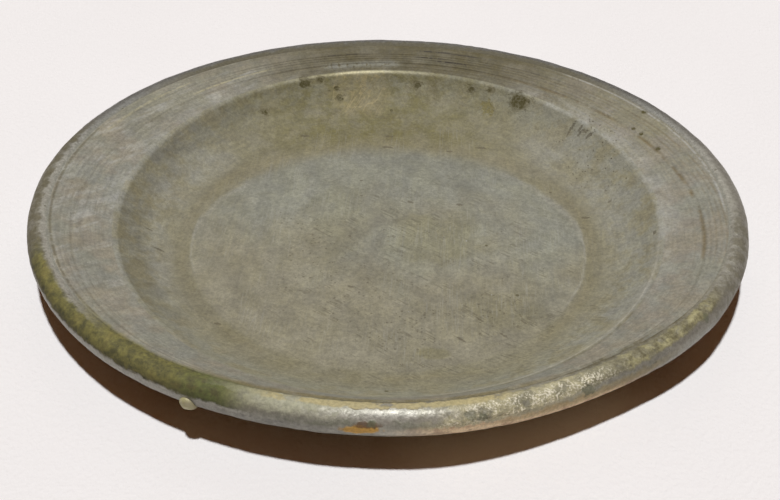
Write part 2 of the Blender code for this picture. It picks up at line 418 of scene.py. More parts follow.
class Nodes:
    """Short words for the nodes of one shader or node group."""

    def __init__(self, tree):
        self.tree = tree

    def plug(self, socket, value):
        if isinstance(value, bpy.types.NodeSocket):
            self.tree.links.new(value, socket)
        elif socket.type == "RGBA" and len(value) == 3:
            socket.default_value = (*value, 1)
        else:
            socket.default_value = value

    def add(self, kind, values=None, **settings):
        node = self.tree.nodes.new("ShaderNode" + kind)
        for name, setting in settings.items():
            setattr(node, name, setting)
        for name, value in (values or {}).items():
            self.plug(node.inputs[name], value)
        return node

    def math(self, operation, first, second=0.0):
        node = self.add("Math", {0: first, 1: second}, operation=operation)
        return node.outputs[0]

    def times(self, first, second):
        return self.math("MULTIPLY", first, second)

    def most(self, first, second):
        return self.math("MAXIMUM", first, second)

    def vector(self, operation, first, second=(0, 0, 0)):
        node = self.add("VectorMath", {0: first, 1: second}, operation=operation)
        return node.outputs["Value"] if operation in ("LENGTH", "DOT_PRODUCT") else node.outputs["Vector"]

    def scaled(self, vector, factors):
        return self.vector("MULTIPLY", vector, factors)

    def fade(self, value, start, stop):
        """0 at start and 1 at stop, with a soft step between."""
        values = {"Value": value, "From Min": start, "From Max": stop}
        return self.add("MapRange", values, interpolation_type="SMOOTHSTEP").outputs["Result"]

    def band(self, value, middle, reach):
        """1 at the middle of a band, and 0 at its reach on either side."""
        away = self.math("ABSOLUTE", self.math("SUBTRACT", value, middle))
        return self.fade(away, reach, 0)

    def between(self, value, low, high, soft):
        """1 from low to high, with a soft step at either end."""
        start = self.fade(value, low - soft, low + soft)
        return self.times(start, self.fade(value, high + soft, high - soft))

    def shaken(self, value, cloud, amount):
        """The value pushed up and down by a cloud."""
        return self.math("ADD", value, self.times(self.math("SUBTRACT", cloud, 0.5), amount))

    def stretched(self, value, low, high):
        """The value, which runs from 0 to 1, made to run from low to high."""
        return self.add("MapRange", {"Value": value, "To Min": low, "To Max": high}).outputs["Result"]

    def arc(self, around, start, stop, soft):
        """1 along the rim from one angle to another, in degrees, with a soft step at either end."""
        middle = math.radians((start + stop) / 2)
        reach = (stop - start) / 2
        toward = self.vector("DOT_PRODUCT", around, (math.cos(middle), math.sin(middle), 0))
        away = self.math("ARCCOSINE", toward)
        return self.fade(away, math.radians(reach + soft), math.radians(reach - soft))

    def mix(self, factor, first, second):
        node = self.add("Mix", {0: factor, 6: first, 7: second}, data_type="RGBA")
        return node.outputs[2]

    def laid(self, mask, share, tone, over):
        """The tone with this share of another colour laid over it, where the mask is 1."""
        return self.mix(self.times(mask, share), tone, over)

    def shade(self, colour_in, value, low, high):
        """The colour made darker or paler, from low to high as the value goes from 0 to 1."""
        gain = self.stretched(value, low, high)
        return self.add("VectorMath", {0: colour_in, "Scale": gain}, operation="SCALE").outputs["Vector"]

    def mottle(self, colour_in, cloud, low, high):
        """The colour made darker and paler by a cloud, whose middle range is spread from low to high."""
        return self.shade(colour_in, self.fade(cloud, 0.3, 0.7), low, high)

    def cloud(self, vector, scale, detail=3.0, rough=0.55):
        values = {"Vector": vector, "Scale": scale, "Detail": detail, "Roughness": rough}
        return self.add("TexNoise", values).outputs["Fac"]

    def group(self, tree, **values):
        node = self.add("Group", node_tree=tree)
        for name, value in values.items():
            self.plug(node.inputs[name.replace("_", " ").capitalize()], value)
        return node.outputs[0]


def new_group(name, inputs, output, output_kind="Float"):
    """An empty node group with these inputs and one output, and its nodes."""
    tree = bpy.data.node_groups.new(name, "ShaderNodeTree")
    for label, kind in inputs:
        tree.interface.new_socket(name=label, in_out="INPUT", socket_type="NodeSocket" + kind)
    tree.interface.new_socket(name=output, in_out="OUTPUT", socket_type="NodeSocket" + output_kind)
    nodes = Nodes(tree)
    given = tree.nodes.new("NodeGroupInput").outputs
    result = tree.nodes.new("NodeGroupOutput").inputs[0]
    return tree, nodes, given, result


def patch_group():
    """A ragged round patch: 1 inside, 0 outside."""
    inputs = (
        ("Vector", "Vector"),
        ("Centre", "Vector"),
        ("Squeeze", "Vector"),
        ("Radius", "Float"),
        ("Fray", "Float"),
        ("Grain", "Float"),
    )
    tree, nodes, given, result = new_group("ragged patch", inputs, "Mask")
    away = nodes.vector("SUBTRACT", given["Vector"], given["Centre"])
    away = nodes.scaled(away, given["Squeeze"])
    far = nodes.math("DIVIDE", nodes.vector("LENGTH", away), given["Radius"])
    torn = nodes.math("SUBTRACT", nodes.cloud(given["Vector"], given["Grain"]), 0.5)
    edge = nodes.math("ADD", far, nodes.times(torn, given["Fray"]))
    tree.links.new(nodes.fade(edge, 1.1, 0.65), result)
    return tree


def specks_group():
    """Small round specks: 1 inside, 0 outside."""
    inputs = (("Vector", "Vector"), ("Cells", "Float"), ("Share", "Float"), ("Spread", "Float"))
    tree, nodes, given, result = new_group("specks", inputs, "Mask")
    cells = nodes.add("TexVoronoi", {"Vector": given["Vector"], "Scale": given["Cells"]})
    own = nodes.add("SeparateColor", {"Color": cells.outputs["Color"]}).outputs["Red"]
    shrink = {"Value": own, "From Max": given["Share"], "To Min": 1.0, "To Max": 0.3}
    radius = nodes.times(given["Spread"], nodes.add("MapRange", shrink).outputs["Result"])
    inside = nodes.fade(cells.outputs["Distance"], radius, nodes.times(radius, 0.5))
    picked = nodes.math("LESS_THAN", own, given["Share"])
    tree.links.new(nodes.times(inside, picked), result)
    return tree


def brush_group():
    """Straight streaks that run one way, at this turn from the width of the dish."""
    inputs = (("Vector", "Vector"), ("Turn", "Float"), ("Fine", "Float"), ("Long", "Float"))
    tree, nodes, given, result = new_group("brush streaks", inputs, "Value")
    values = {"Vector": given["Vector"], "Angle": given["Turn"]}
    turned = nodes.add("VectorRotate", values, rotation_type="Z_AXIS").outputs[0]
    stretch = nodes.add("CombineXYZ", {"X": given["Fine"], "Y": given["Long"], "Z": given["Long"]})
    drawn = nodes.scaled(turned, stretch.outputs[0])
    tree.links.new(nodes.cloud(drawn, 1.0, detail=2.0), result)
    return tree


def rings_group():
    """Streaks that run round the dish."""
    inputs = (("Vector", "Vector"), ("Station", "Float"), ("Across", "Float"), ("Along", "Float"))
    tree, nodes, given, result = new_group("ring streaks", inputs, "Value")
    level = nodes.vector("NORMALIZE", nodes.scaled(given["Vector"], (1, 1, 0)))
    sweep = nodes.add("VectorMath", {0: level, "Scale": given["Along"]}, operation="SCALE").outputs[0]
    lifted = nodes.add("CombineXYZ", {"Z": nodes.times(given["Station"], given["Across"])}).outputs[0]
    tree.links.new(nodes.cloud(nodes.vector("ADD", sweep, lifted), 1.0, detail=4.0), result)
    return tree


def moss_group():
    """Moss green that starts on the outside of the roll at the left and spreads over it to the front."""
    inputs = (("Vector", "Vector"), ("Station", "Float"), ("Around", "Vector"))
    tree, nodes, given, result = new_group("moss", inputs, "Mask")
    torn = nodes.shaken(given["Station"], nodes.cloud(given["Vector"], 260.0, 4.0, 0.7), 0.16)
    first = nodes.times(nodes.arc(given["Around"], -160, -109, 4), nodes.fade(torn, 4.07, 4.15))
    later = nodes.times(nodes.arc(given["Around"], -140, -110, 7), nodes.fade(torn, 3.88, 4.02))
    grown = nodes.times(nodes.most(first, later), nodes.fade(torn, 4.40, 4.35))
    tree.links.new(grown, result)
    return tree


def moss_tone_group():
    """The colour of the moss green: mottled, darker below, and fresher where it ends at the front."""
    inputs = (
        ("Vector", "Vector"),
        ("Station", "Float"),
        ("Around", "Vector"),
        ("Dark", "Color"),
        ("Moss", "Color"),
        ("Yellow", "Color"),
        ("Fresh", "Color"),
    )
    tree, nodes, given, result = new_group("moss tone", inputs, "Colour", "Color")
    tufts = nodes.cloud(given["Vector"], 380.0, 5.0, 0.7)
    tone = nodes.mix(nodes.fade(tufts, 0.34, 0.64), given["Dark"], given["Moss"])
    yellowed = nodes.fade(nodes.cloud(given["Vector"], 120.0), 0.52, 0.68)
    tone = nodes.laid(yellowed, 0.45, tone, given["Yellow"])
    tone = nodes.shade(tone, nodes.fade(given["Station"], 4.20, 4.36), 1.1, 0.7)
    fresh = nodes.times(nodes.arc(given["Around"], -118, -110, 5), nodes.fade(tufts, 0.36, 0.54))
    tree.links.new(nodes.laid(fresh, 0.7, tone, given["Fresh"]), result)
    return tree


def shared(name, build):
    """A node group that is built once."""
    return bpy.data.node_groups.get(name) or build()


class Finish:
    """A material under way: its nodes, its coordinates and the effects that finishes share."""

    def __init__(self, name, metallic):
        self.material = bpy.data.materials.new(name)
        self.material.use_nodes = True
        self.shader = self.material.node_tree.nodes["Principled BSDF"]
        self.shader.inputs["Metallic"].default_value = metallic
        self.nodes = Nodes(self.material.node_tree)
        self.place = self.nodes.add("TexCoord").outputs["Object"]
        self.station = self.nodes.add("Attribute", attribute_name="station").outputs["Fac"]
        self.around = self.nodes.add("Attribute", attribute_name="around").outputs["Vector"]

    def arc(self, start, stop, soft=8.0):
        return self.nodes.arc(self.around, start, stop, soft)

    def zone(self, station, low, high, soft, arc):
        """1 from one station to another, along an arc that is given as its start, stop and softness."""
        return self.nodes.times(self.arc(*arc), self.nodes.between(station, low, high, soft))

    def moss(self, colours, tone):
        """The tone with moss green grown over it, and the mask of the moss green."""
        nodes = self.nodes
        where = {"vector": self.place, "station": self.station, "around": self.around}
        greens = {"dark": colours.moss_dark, "moss": colours.moss, "yellow": colours.moss_yellow}
        mask = nodes.group(shared("moss", moss_group), **where)
        moss = nodes.group(shared("moss tone", moss_tone_group), fresh=colours.green, **where, **greens)
        return nodes.mix(mask, tone, moss), mask

    def patch(self, centre, radius, fray=1.2, grain=500.0, squeeze=(1, 1, 1)):
        tree = shared("ragged patch", patch_group)
        shape = {"centre": centre, "squeeze": squeeze, "radius": radius, "fray": fray, "grain": grain}
        return self.nodes.group(tree, vector=self.place, **shape)

    def specks(self, cells, share, spread):
        tree = shared("specks", specks_group)
        return self.nodes.group(tree, vector=self.place, cells=cells, share=share, spread=spread)

    def flat_specks(self, cells, share, spread):
        """Specks that are laid out in plan, so that each one reaches the face."""
        tree = shared("specks", specks_group)
        plan = self.nodes.scaled(self.place, (1, 1, 0))
        return self.nodes.group(tree, vector=plan, cells=cells, share=share, spread=spread)

    def stroke(self, centre, along, reach, thin):
        """A short stroke in plan, this many times as long as it is wide."""
        nodes = self.nodes
        away = nodes.vector("SUBTRACT", self.place, centre)
        length = nodes.vector("DOT_PRODUCT", away, tuple(part / reach for part in along))
        side = (-along[1] * thin / reach, along[0] * thin / reach, 0)
        width = nodes.vector("DOT_PRODUCT", away, side)
        far = nodes.math("ADD", nodes.times(length, length), nodes.times(width, width))
        return nodes.fade(nodes.shaken(far, self.cloud(900.0), 2.4), 1.0, 0.2)

    def brush(self, turn, fine, long):
        tree = shared("brush streaks", brush_group)
        return self.nodes.group(tree, vector=self.place, turn=turn, fine=fine, long=long)

    def scratches(self, turn, fine, long):
        """Hairlines: the level lines of the streaks."""
        return self.nodes.band(self.brush(turn, fine, long), 0.5, 0.035)

    def rings(self, across, along):
        tree = shared("ring streaks", rings_group)
        return self.nodes.group(tree, vector=self.place, station=self.station, across=across, along=along)

    def cloud(self, scale, detail=3.0, rough=0.55):
        return self.nodes.cloud(self.place, scale, detail, rough)

    def set(self, colour_out, roughness, height, depth):
        nodes = self.nodes
        nodes.plug(self.shader.inputs["Base Color"], colour_out)
        nodes.plug(self.shader.inputs["Roughness"], roughness)
        bump = nodes.add("Bump", {"Height": height, "Strength": 1.0, "Distance": depth})
        nodes.plug(self.shader.inputs["Normal"], bump.outputs["Normal"])
        return self.material


# Corrosion spots on the tin: place in metres and radius.
DARK_SPOTS = (
    ((0.0506, 0.0659, 0.0099), 0.0034),
    ((-0.0346, 0.0755, 0.0109), 0.0021),
    ((-0.0284, 0.0779, 0.0111), 0.0015),
    ((-0.0203, 0.0727, 0.0059), 0.0014),
    ((0.0108, 0.0788, 0.0089), 0.0015),
    ((0.0322, 0.0747, 0.0096), 0.0013),
    ((0.0398, 0.0729, 0.0106), 0.0013),
    ((-0.0493, 0.0609, 0.0064), 0.0014),
    ((-0.0216, 0.0762, 0.0083), 0.0011),
    ((0.0905, 0.0406, 0.0154), 0.0008),
    ((0.0926, 0.0373, 0.0154), 0.0007),
    ((0.0971, 0.0279, 0.0155), 0.0008),
    ((0.0953, 0.0485, 0.0177), 0.0010),
)
OCHRE_SPOT = (0.0387, 0.0667, 0.0062)
GILT_SPOT = (-0.0130, 0.0765, 0.0080)

# Soft smudges in the well: place in metres, radius, how far it is squeezed each way, and share.
SMUDGES = (
    ((0.0171, -0.0076, 0.0012), 0.0130, (0.7, 0.9, 1), 0.35),
    ((-0.0180, 0.0020, 0.0012), 0.0120, (1, 0.5, 1), 0.18),
    ((0.0362, -0.0420, 0.0012), 0.0110, (0.8, 1.2, 1), 0.25),
    ((0.0141, -0.0619, 0.0012), 0.0035, (0.6, 1.3, 1), 0.45),
    ((0.0100, 0.0680, 0.0029), 0.0060, (0.4, 1.3, 1), 0.60),
    ((0.0199, 0.0626, 0.0019), 0.0050, (0.4, 1.5, 1), 0.60),
)

# Short dark strokes in the well: place in metres, half length, and how thin and how far turned they are.
STROKES = (
    ((-0.0331, 0.0523, 0.0013), 0.0026, 3.0, 0.0),
    ((-0.0003, 0.0529, 0.0012), 0.0018, 3.0, 0.05),
    ((-0.0010, 0.0456, 0.0012), 0.0026, 3.5, 0.1),
    ((0.0350, 0.0462, 0.0012), 0.0030, 4.0, 0.1),
    ((0.0229, 0.0434, 0.0012), 0.0013, 2.0, 0.0),
    ((0.0079, 0.0117, 0.0012), 0.0016, 2.5, 0.5),
    ((0.0254, 0.0107, 0.0012), 0.0014, 2.0, 0.2),
    ((0.0362, -0.0540, 0.0012), 0.0024, 5.0, 0.75),
    ((0.0290, -0.0470, 0.0012), 0.0020, 5.0, 0.75),
    ((0.0230, -0.0560, 0.0012), 0.0022, 5.0, 0.70),
    ((0.0430, -0.0480, 0.0012), 0.0022, 5.0, 0.75),
    ((-0.0120, -0.0330, 0.0012), 0.0012, 2.5, 0.3),
    ((-0.0764, -0.0187, 0.0034), 0.0020, 4.0, 0.2),
    ((-0.0811, -0.0102, 0.0049), 0.0016, 4.0, 0.1),
    ((-0.0525, -0.0517, 0.0021), 0.0014, 2.5, 0.3),
    ((-0.0101, 0.0240, 0.0012), 0.0008, 1.8, 0.1),
    ((-0.0099, 0.0151, 0.0012), 0.0007, 1.6, 0.1),
    ((-0.0132, -0.0074, 0.0012), 0.0007, 1.6, 0.3),
    ((0.0588, 0.0188, 0.0012), 0.0007, 1.5, 0.2),
    ((0.0786, 0.0104, 0.0041), 0.0011, 2.0, -0.6),
    ((0.0696, 0.0043, 0.0014), 0.0018, 2.5, 0.0),
    ((0.0885, -0.0142, 0.0101), 0.0013, 2.0, -1.2),
    ((0.0690, 0.0484, 0.0089), 0.0034, 5.0, -0.85),
    ((0.0722, 0.0470, 0.0102), 0.0016, 2.5, -0.85),
    ((0.0734, 0.0450, 0.0101), 0.0018, 2.2, 0.6),
    ((0.0749, 0.0425, 0.0100), 0.0017, 2.2, -0.4),
    ((0.0716, 0.0450, 0.0088), 0.0015, 3.0, -0.85),
)

# Clusters of pits in the base: place in metres and radius.
PITTED = (
    ((-0.0241, -0.0210, 0.0012), 0.0150),
    ((-0.0300, 0.0000, 0.0012), 0.0110),
    ((0.0060, -0.0520, 0.0012), 0.0170),
    ((0.0330, -0.0450, 0.0012), 0.0130),
    ((-0.0100, -0.0400, 0.0012), 0.0120),
)


def tin_finish(colours):
    """Dull wiped tin: grey on the base, khaki on the wall, bright on the shoulder with a painted golden
    highlight at the back, stained and pitted.
    """
    finish = Finish("worn tin", 0.12)
    nodes = finish.nodes
    tone = well_tone(finish, colours)
    tone = lip_tone(finish, colours, tone)
    shoulder = nodes.band(finish.station, 2.6, 0.5)
    sides = nodes.most(nodes.times(finish.arc(124, 196, 14), 0.6), finish.arc(-25, 56, 12))
    sides = nodes.times(sides, nodes.between(finish.station, 2.3, 3.2, 0.2))
    rubbed = nodes.most(nodes.times(shoulder, 0.4), sides)
    rubbed = nodes.times(rubbed, nodes.fade(finish.cloud(110.0, 4.0, 0.65), 0.36, 0.58))
    tone = nodes.laid(rubbed, 0.45, tone, colours.tin_pale)
    # Painted highlight: a pale silver line along the top of the wall at the front right, where the shoulder
    # catches the light; a darker band follows just outside it.
    line = nodes.times(nodes.band(finish.station, 2.2, 0.35), finish.arc(-84, -12, 12))
    tone = nodes.laid(line, 0.45, tone, colours.silver_and_highlight)
    line = nodes.times(nodes.band(finish.station, 2.8, 0.3), finish.arc(-84, -24, 12))
    tone = nodes.laid(line, 0.3, tone, colours.film)
    # Painted highlight: pale gold along the shoulder at the back, where the key light's reflection runs as a
    # thin golden line.
    gold_highlight = nodes.times(nodes.band(finish.station, 2.6, 0.4), finish.arc(84, 112, 12))
    tone = nodes.laid(gold_highlight, 0.5, tone, colours.crust)
    patchy = nodes.fade(finish.cloud(45.0), 0.42, 0.62)
    upright = nodes.stretched(patchy, 0.5, finish.brush(0.06, 420.0, 26.0))
    patchy = nodes.fade(finish.cloud(38.0), 0.38, 0.62)
    turned = nodes.stretched(patchy, 0.5, finish.rings(20.0, 10.0))
    streaks = nodes.stretched(nodes.fade(finish.station, 0.9, 1.1), upright, turned)
    yellowed = nodes.fade(nodes.shaken(finish.cloud(120.0, 4.0, 0.6), streaks, 0.5), 0.36, 0.62)
    tone = nodes.laid(yellowed, 0.35, tone, nodes.scaled(tone, (1.02, 1.0, 0.84)))
    tone = nodes.mottle(tone, streaks, 0.92, 1.08)
    smeared = nodes.times(finish.arc(118, 232, 18), nodes.fade(finish.station, 1.3, 1.7))
    smears = nodes.stretched(smeared, 0.5, finish.brush(0.8, 190.0, 45.0))
    tone = nodes.mottle(tone, smears, 0.91, 1.09)
    tone = nodes.mottle(tone, finish.cloud(260.0, 6.0, 0.7), 0.88, 1.12)
    tone = nodes.mottle(tone, finish.cloud(900.0, 5.0, 0.8), 0.80, 1.20)
    brushed = nodes.times(finish.scratches(0.06, 700.0, 30.0), nodes.fade(finish.station, 1.4, 0.9))
    brushed = nodes.times(brushed, nodes.fade(finish.cloud(60.0), 0.42, 0.65))
    tone = nodes.laid(brushed, 0.2, tone, colours.tin_pale)
    sunk = 0.0
    for mask, share, dirt in well_marks(finish, colours):
        tone = nodes.laid(mask, share, tone, dirt)
        sunk = nodes.most(sunk, mask)
    tone, moss = finish.moss(colours, tone)
    coated = nodes.most(sunk, moss)
    gloss = nodes.times(shoulder, nodes.stretched(finish.arc(86, 108, 18), 0.25, 1.0))
    gloss = nodes.times(gloss, nodes.math("SUBTRACT", 1.0, coated))
    worn = nodes.stretched(finish.cloud(120.0, 4.0), 0.56, 0.76)
    roughness = nodes.math("SUBTRACT", worn, nodes.times(gloss, 0.20))
    nodes.plug(finish.shader.inputs["Metallic"], nodes.stretched(gloss, 0.12, 0.35))
    grain = nodes.times(finish.cloud(900.0, 4.0, 0.65), 0.35)
    height = nodes.math("SUBTRACT", grain, nodes.times(brushed, 0.05))
    height = nodes.math("SUBTRACT", height, nodes.times(sunk, 0.35))
    return finish.set(tone, roughness, height, 0.0003)


def well_tone(finish, colours):
    """The well: a base that is cool and grey at the back and warm at the front, inside a khaki wall."""
    nodes = finish.nodes
    broad = finish.cloud(26.0, 4.0, 0.6)
    blots = finish.cloud(95.0, 5.0, 0.65)
    depth = nodes.add("SeparateXYZ", {0: finish.place}).outputs["Y"]
    cool = nodes.fade(nodes.shaken(depth, broad, 0.16), -0.045, 0.03)
    tone = nodes.mix(cool, colours.tin_warm, colours.tin_grey)
    tone = nodes.mottle(tone, finish.brush(-0.7, 70.0, 26.0), 0.91, 1.09)
    tone = nodes.shade(tone, nodes.fade(depth, 0.0, 0.055), 1.01, 0.91)
    for place, radius, squeeze, share in SMUDGES:
        smudged = finish.patch(place, radius, 1.2, 90.0, squeeze)
        tone = nodes.laid(smudged, share, tone, colours.film_thin)
    edge = nodes.shaken(drifted_station(finish, BASE_DRIFT), blots, 0.10)
    khaki = nodes.mix(nodes.fade(blots, 0.38, 0.60), colours.tin_olive, colours.tin_wall)
    soft = nodes.stretched(finish.arc(35, 145, 20), 1.04, 1.12)
    on_wall = nodes.fade(edge, 0.95, soft)
    tone = nodes.mix(on_wall, tone, khaki)
    ends = nodes.most(finish.arc(-35, 40, 10), finish.arc(150, 200, 10))
    rim = nodes.times(nodes.band(edge, 1.0, 0.035), ends)
    tone = nodes.laid(rim, 0.22, tone, colours.tin_pale)
    ring = nodes.times(nodes.band(edge, 1.12, 0.12), nodes.fade(broad, 0.40, 0.60))
    tone = nodes.laid(ring, 0.16, tone, colours.gold)
    grey = nodes.times(nodes.fade(finish.station, 1.45, 1.9), nodes.fade(blots, 0.60, 0.44))
    tone = nodes.laid(grey, 0.7, tone, colours.tin_grey)
    tone = nodes.shade(tone, nodes.fade(finish.station, 1.2, 1.95), 1.0, 1.17)
    sides = nodes.most(finish.arc(-55, 45, 22), finish.arc(140, 222, 20))
    rubbed = nodes.times(nodes.times(sides, nodes.fade(edge, 1.05, 1.55)), nodes.fade(blots, 0.62, 0.36))
    tone = nodes.laid(rubbed, 0.8, tone, colours.tin_rubbed)
    filmed = nodes.times(finish.arc(60, 132, 26), nodes.fade(edge, 1.0, 1.25))
    smoky = nodes.fade(finish.cloud(150.0, 6.0, 0.7), 0.36, 0.62)
    filmed = nodes.times(filmed, nodes.stretched(smoky, 0.4, 1.0))
    dark = nodes.times(nodes.fade(blots, 0.48, 0.64), 0.5)
    tone = nodes.mix(filmed, tone, nodes.mix(dark, colours.film_thin, colours.film))
    # Painted shade: a darker band just inside the shoulder on the left wall, where that wall is turned from
    # the light.
    shaded = nodes.between(nodes.shaken(finish.station, blots, 0.3), 1.66, 2.1, 0.12)
    shaded = nodes.times(finish.arc(150, 222, 14), shaded)
    tone = nodes.laid(shaded, 0.27, tone, colours.film)
    ends = nodes.most(finish.arc(140, 235, 15), finish.arc(-40, 30, 15))
    outside = nodes.times(ends, nodes.between(edge, 1.04, 1.24, 0.05))
    tone = nodes.laid(outside, 0.16, tone, colours.film)
    gilt = finish.patch(GILT_SPOT, 0.013, 1.4, 120.0)
    gilt = nodes.times(gilt, nodes.stretched(finish.scratches(0.5, 330.0, 60.0), 0.30, 0.85))
    tone = nodes.mix(gilt, tone, colours.gold)
    return nodes.mottle(tone, blots, 0.90, 1.10)


def lip_tone(finish, colours, tone):
    """The lip: pinkish and bluish grey with turned lines, and a dark film along the back."""
    nodes = finish.nodes
    on_lip = nodes.fade(finish.station, 2.75, 3.0)
    blots = finish.cloud(80.0, 5.0, 0.65)
    lip = nodes.mix(nodes.fade(blots, 0.38, 0.62), colours.tin_lip, colours.tin_blue_and_reflection)
    streaks = finish.rings(24.0, 6.0)
    lip = nodes.mottle(lip, streaks, 0.95, 1.05)
    left = nodes.times(finish.arc(104, 162, 15), 0.3)
    khaki = nodes.most(left, nodes.times(finish.arc(15, 62, 12), 0.65))
    khaki = nodes.times(khaki, nodes.fade(nodes.shaken(blots, streaks, 0.6), 0.36, 0.60))
    lip = nodes.mix(khaki, lip, colours.khaki)
    thick = nodes.fade(nodes.shaken(finish.cloud(150.0, 5.0, 0.65), streaks, 0.5), 0.36, 0.60)
    filmed = nodes.times(finish.arc(50, 118, 20), nodes.stretched(thick, 0.75, 1.0))
    lip = nodes.mix(filmed, lip, colours.film)
    margin = nodes.times(nodes.fade(finish.station, 3.55, 3.92), finish.arc(-118, -66, 8))
    lip = nodes.laid(margin, nodes.stretched(thick, 0.35, 0.95), lip, colours.crease)
    dirt = nodes.times(nodes.fade(finish.station, 3.82, 3.92), finish.arc(-63, -44, 5))
    lip = nodes.laid(dirt, nodes.stretched(thick, 0.2, 0.9), lip, colours.film)
    chafed = nodes.times(nodes.fade(finish.brush(0.8, 300.0, 40.0), 0.46, 0.64), finish.arc(118, 215, 12))
    lip = nodes.laid(nodes.times(chafed, thick), 0.5, lip, colours.tin_pale)
    turned = drifted_station(finish, TURN_DRIFT)
    broken = nodes.fade(finish.rings(3.0, 16.0), 0.36, 0.60)
    broken = nodes.times(broken, nodes.stretched(finish.arc(-22, 64), 0.15, 1.0))
    for line, half_width, depth in TURNED_LINES:
        dirty = nodes.times(nodes.band(turned, line, 1.6 * half_width), broken)
        lip = nodes.laid(dirty, 0.8 * (depth / MAIN_LINE_DEPTH) ** 1.5, lip, colours.line_brown)
    ragged = nodes.fade(finish.rings(8.0, 60.0), 0.34, 0.5)
    for dash, half_width, start, stop, name, share in LIP_DASHES:
        drawn = nodes.times(nodes.band(finish.station, dash, half_width), finish.arc(start, stop, 2))
        lip = nodes.laid(nodes.times(drawn, ragged), share, lip, getattr(colours, name))
    return nodes.mix(on_lip, tone, lip)


def drifted_station(finish, drift):
    """The station measured from rings that run off the middle of the dish, by this much to the front."""
    nodes = finish.nodes
    back = nodes.add("SeparateXYZ", {0: finish.around}).outputs["Y"]
    return nodes.math("ADD", finish.station, nodes.times(back, drift))


def well_marks(finish, colours):
    """Marks on the tin as pairs of a mask and a colour, with the share of the colour that shows."""
    nodes = finish.nodes
    dots = nodes.stretched(nodes.fade(finish.cloud(1100.0, 3.0, 0.7), 0.38, 0.52), 0.3, 1.0)
    sandy = nodes.fade(finish.cloud(75.0, 4.0, 0.6), 0.42, 0.62)
    front = nodes.stretched(finish.patch((0.014, -0.030, 0.002), 0.062, 0.9, 60.0), 0.25, 1.0)
    drawn = nodes.times(finish.scratches(-0.95, 620.0, 24.0), nodes.fade(finish.cloud(190.0), 0.52, 0.62))
    pits = nodes.times(finish.flat_specks(640.0, 0.40, 0.30), sandy)
    grit = nodes.times(finish.flat_specks(480.0, 0.25, 0.22), sandy)
    spotted = finish.patch((0.0760, 0.0340, 0.0080), 0.018, 1.4, 120.0, (1.3, 0.8, 1))
    yield nodes.times(drawn, front), 0.4, colours.pit
    yield nodes.times(grit, front), 0.30, colours.gold
    yield nodes.times(pits, front), 0.5, colours.pit
    clustered = 0.0
    for place, radius in PITTED:
        clustered = nodes.most(clustered, finish.patch(place, radius, 1.6, 110.0))
    holes = nodes.math("ADD", finish.flat_specks(760.0, 0.45, 0.34), finish.flat_specks(430.0, 0.22, 0.24))
    yield nodes.times(nodes.math("MINIMUM", holes, 1.0), clustered), 0.55, colours.pit
    for place, reach, thin, turn in STROKES:
        along = (math.cos(turn), -math.sin(turn), 0)
        yield finish.stroke(place, along, reach, thin), 0.6, colours.pit
    yield nodes.times(finish.flat_specks(900.0, 0.5, 0.36), spotted), 0.75, colours.pit
    yield finish.specks(120.0, 0.20, 0.11), 0.7, colours.stain
    yield finish.specks(150.0, 0.08, 0.07), 0.8, colours.tin_pale
    yield nodes.times(finish.patch(OCHRE_SPOT, 0.0034, 2.0, 420.0), dots), 0.8, colours.ochre
    for place, radius in DARK_SPOTS:
        yield finish.patch(place, 1.4 * radius, 2.4, 500.0), 0.4, colours.film
        yield nodes.times(finish.patch(place, 1.1 * radius, 2.2, 380.0), dots), 1.0, colours.stain


# Dark spots on the rolled edge: place in metres and radius.
ROLL_SPOTS = (
    ((-0.0037, -0.1011, 0.0163), 0.0014),
    ((0.0227, -0.0984, 0.0167), 0.0017),
    ((0.0258, -0.0981, 0.0160), 0.0014),
    ((0.0938, -0.0606, 0.0173), 0.0014),
    ((0.0560, -0.0868, 0.0146), 0.0020),
)


